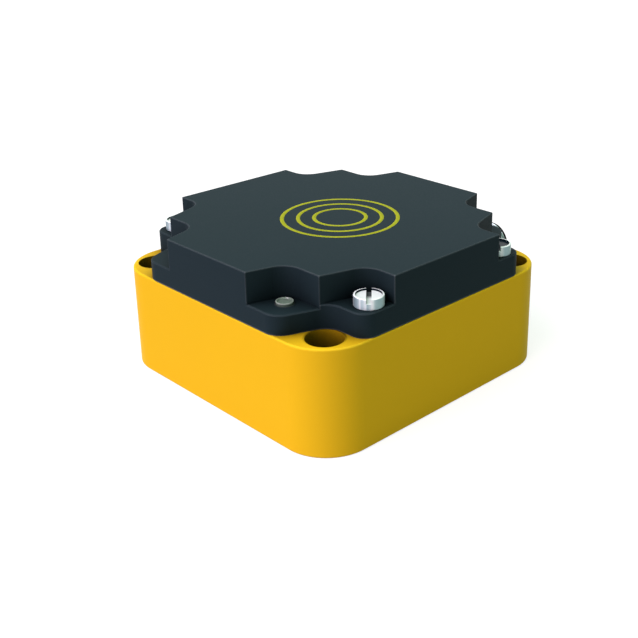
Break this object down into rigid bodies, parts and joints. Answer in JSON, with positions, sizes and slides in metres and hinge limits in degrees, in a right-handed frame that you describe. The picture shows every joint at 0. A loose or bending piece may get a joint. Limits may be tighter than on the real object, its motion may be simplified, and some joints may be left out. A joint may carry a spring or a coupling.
{
  "type": "inductive proximity sensor",
  "caption": "Square inductive proximity sensor: dark sensing head with stepped corner pockets, held by slotted screws on a yellow terminal base, with a round plug connector.",
  "frame": {"origin": "centre of the terminal base's underside", "axes": "+Z out of the sensing face, +Y along the plug connector, +X to the right seen from the side opposite the connector; the status lamp is in the +X, -Y corner"},
  "size_m": [0.08, 0.1067, 0.0395],
  "materials": {
    "yellow_moulding": "satin glass-filled moulding, golden yellow",
    "black_moulding": "fine matt moulding, blue-black",
    "seal_rubber": "matt",
    "nickelled_steel": "bright nickel",
    "brass": "plain turned",
    "nickelled_brass": "satin nickel",
    "gilt_contact": "gold flashed",
    "black_insulator": "fine matt",
    "grey_insulator": "fine matt",
    "ferrite": "ground ferrite, dark grey",
    "enamelled_copper": "enamelled copper wire",
    "potting_resin": "cast, smooth",
    "board_laminate": "green solder mask",
    "chip_mould": "matt",
    "led_clear": "clear",
    "lens_clear": "frosted light guide",
    "lead_sheath": "smooth"
  },
  "bodies": {
    "root": {"block_screw_1": "nickelled_steel", "block_screw_2": "nickelled_steel", "board_components": "chip_mould", "circuit_board": "board_laminate", "coil_bobbin": "grey_insulator", "coil_winding": "enamelled_copper", "connector_locknut": "nickelled_brass", "connector_pin_1": "gilt_contact", "connector_pin_2": "gilt_contact", "connector_pin_3": "gilt_contact", "connector_pin_4": "gilt_contact", "connector_seal": "seal_rubber", "connector_shell": "nickelled_brass", "contact_carrier": "black_insulator", "contact_pin_1": "gilt_contact", "contact_pin_2": "gilt_contact", "contact_pin_3": "gilt_contact", "contact_pin_4": "gilt_contact", "contact_socket_1": "gilt_contact", "contact_socket_2": "gilt_contact", "contact_socket_3": "gilt_contact", "contact_socket_4": "gilt_contact", "ferrite_core": "ferrite", "head_gasket": "seal_rubber", "head_screw_1": "nickelled_steel", "head_screw_2": "nickelled_steel", "head_screw_3": "nickelled_steel", "head_screw_4": "nickelled_steel", "lead_wire_1": "lead_sheath", "lead_wire_2": "lead_sheath", "lead_wire_3": "lead_sheath", "lead_wire_4": "lead_sheath", "potting": "potting_resin", "sensor_head": "black_moulding", "status_led": "led_clear", "status_lens": "lens_clear", "terminal_base": "yellow_moulding", "terminal_block": "grey_insulator", "terminal_clamp_1": "brass", "terminal_clamp_2": "brass", "terminal_clamp_3": "brass", "terminal_clamp_4": "brass", "terminal_screw_1": "nickelled_steel", "terminal_screw_2": "nickelled_steel", "terminal_screw_3": "nickelled_steel", "terminal_screw_4": "nickelled_steel", "threaded_insert_1": "brass", "threaded_insert_2": "brass", "threaded_insert_3": "brass", "threaded_insert_4": "brass"}
  },
  "joints": []
}
